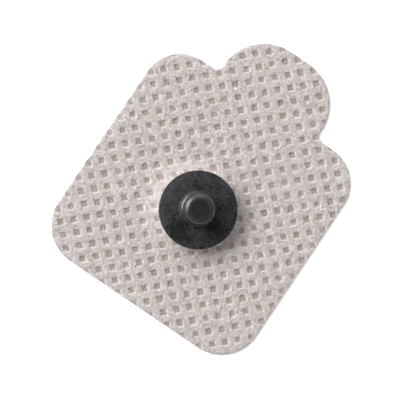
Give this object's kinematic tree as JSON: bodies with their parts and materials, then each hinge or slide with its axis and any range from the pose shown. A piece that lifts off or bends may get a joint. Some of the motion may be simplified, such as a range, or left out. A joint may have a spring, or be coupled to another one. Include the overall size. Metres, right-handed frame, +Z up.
{
  "type": "electrode pad",
  "caption": "Disposable skin electrode: a tabbed rounded-square pad of embossed non-woven cloth with a black press stud on top and a gel contact below.",
  "frame": {"origin": "on the stud's axis, in the skin plane on which the gel and the backing's rim lie", "axes": "+Z up through the stud, away from the skin; +Y towards the pull tab; +X across the pad"},
  "size_m": [0.03, 0.0376, 0.0047],
  "materials": {
    "nonwoven_cloth": "matte",
    "carbon_plastic": "satin",
    "silver_chloride_coat": "satin",
    "hydrogel": "gloss"
  },
  "bodies": {
    "root": {"cloth_backing": "nonwoven_cloth", "snap_stud": "carbon_plastic", "sensor_eyelet": "silver_chloride_coat", "hydrogel_disc": "hydrogel"}
  },
  "joints": []
}
